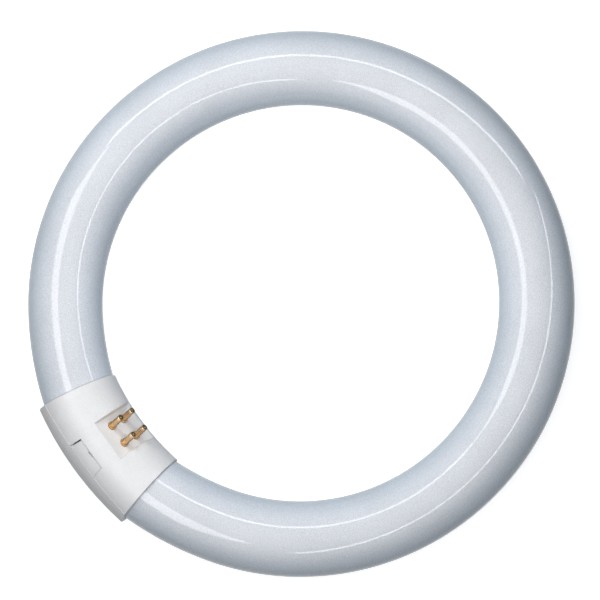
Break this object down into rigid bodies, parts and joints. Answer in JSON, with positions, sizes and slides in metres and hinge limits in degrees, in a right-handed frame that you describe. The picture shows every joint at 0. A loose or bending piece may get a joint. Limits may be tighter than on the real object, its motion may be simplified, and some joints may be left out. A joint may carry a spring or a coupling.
{
  "type": "circular fluorescent tube",
  "caption": "Ring-shaped fluorescent tube of white-coated glass, closed by a snap-together plastic base whose slanted recess carries round contact pins.",
  "frame": {"origin": "centre of the ring, in the plane of the tube's centre line", "axes": "+Z along the ring's axis, to the side that the pins lean to; the base is at -Y and X runs along the base"},
  "size_m": [0.2096, 0.2123, 0.0332],
  "materials": {
    "coated_glass": "smooth glass with a white coating inside, opaque",
    "white_plastic": "satin moulded",
    "pin_brass": "bright turned",
    "wire_metal": "drawn wire"
  },
  "bodies": {
    "root": {"glass_tube": "coated_glass", "base_pin_half": "white_plastic", "base_back_half": "white_plastic", "contact_pin_front_right": "pin_brass", "contact_pin_front_left": "pin_brass", "contact_pin_rear_right": "pin_brass", "contact_pin_rear_left": "pin_brass", "lead_wire_front_right": "wire_metal", "lead_wire_front_left": "wire_metal", "lead_wire_rear_right": "wire_metal", "lead_wire_rear_left": "wire_metal"}
  },
  "joints": []
}
